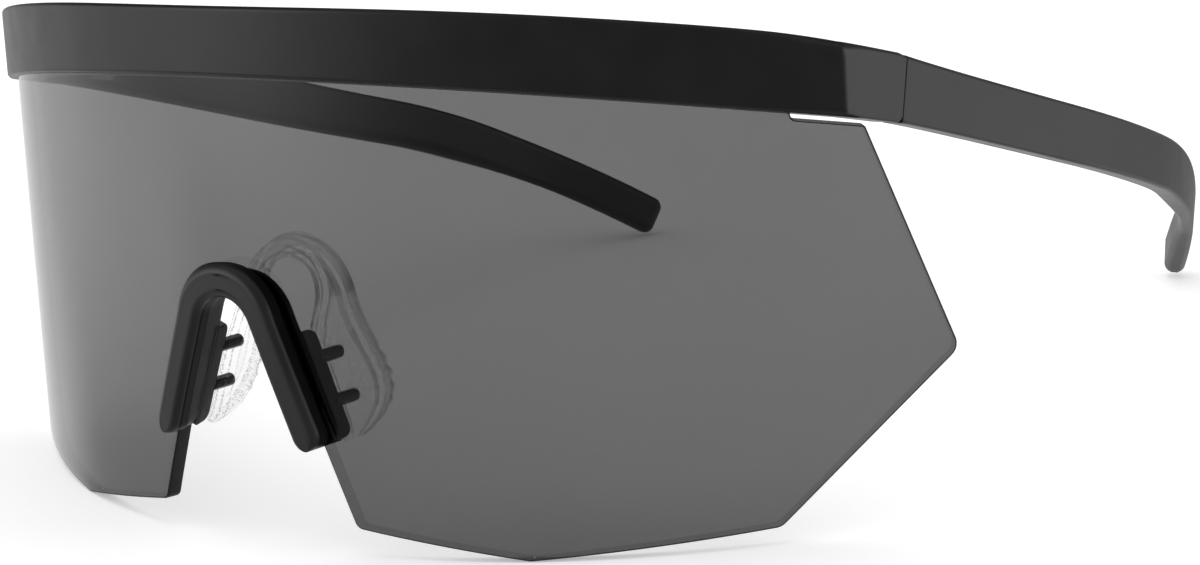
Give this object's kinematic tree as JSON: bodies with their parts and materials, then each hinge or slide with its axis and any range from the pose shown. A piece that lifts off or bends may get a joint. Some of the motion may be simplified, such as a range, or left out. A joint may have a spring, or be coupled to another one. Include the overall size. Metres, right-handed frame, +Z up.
{
  "type": "shield sunglasses",
  "caption": "Shield sunglasses: one wrapped smoke lens under a straight black brow bar, clip-in nose bridge with a clear saddle pad, slim folding temples.",
  "frame": {"origin": "on the ground, under the middle of the box round the resting object", "axes": "+Z up with the object resting on the two lowest points of the lens and the two temple tips, temples open; +Y back along the temples; +X towards the wearer's left"},
  "size_m": [0.1516, 0.1538, 0.0655],
  "materials": {
    "matte_black": "soft-touch matte black",
    "clip_black": "fine matte black",
    "smoke_lens": "polished tinted polycarbonate",
    "clear_silicone": "clear soft silicone",
    "hinge_steel": "bare stainless steel"
  },
  "bodies": {
    "front": {"brow_bar": "matte_black", "shield_lens": "smoke_lens", "nose_clip": "clip_black", "nose_pad": "clear_silicone", "front_leaf_left": "hinge_steel", "front_leaf_right": "hinge_steel", "hinge_screw_left": "hinge_steel", "hinge_screw_right": "hinge_steel", "front_leaf_screws_left": "hinge_steel", "front_leaf_screws_right": "hinge_steel"},
    "left_arm": {"temple_left": "matte_black", "temple_leaf_left": "hinge_steel", "temple_leaf_screws_left": "hinge_steel"},
    "right_arm": {"temple_right": "matte_black", "temple_leaf_right": "hinge_steel", "temple_leaf_screws_right": "hinge_steel"}
  },
  "joints": [
    {"name": "left_hinge", "type": "hinge", "parent": "front", "child": "left_arm", "pos_m": [0.0632, -0.0328, 0.04964], "axis": [0, 0.2652, 0.9642], "range_deg": [0, 87]},
    {"name": "right_hinge", "type": "hinge", "parent": "front", "child": "right_arm", "pos_m": [-0.0632, -0.0328, 0.04964], "axis": [0, -0.2652, -0.9642], "range_deg": [0, 77]}
  ]
}
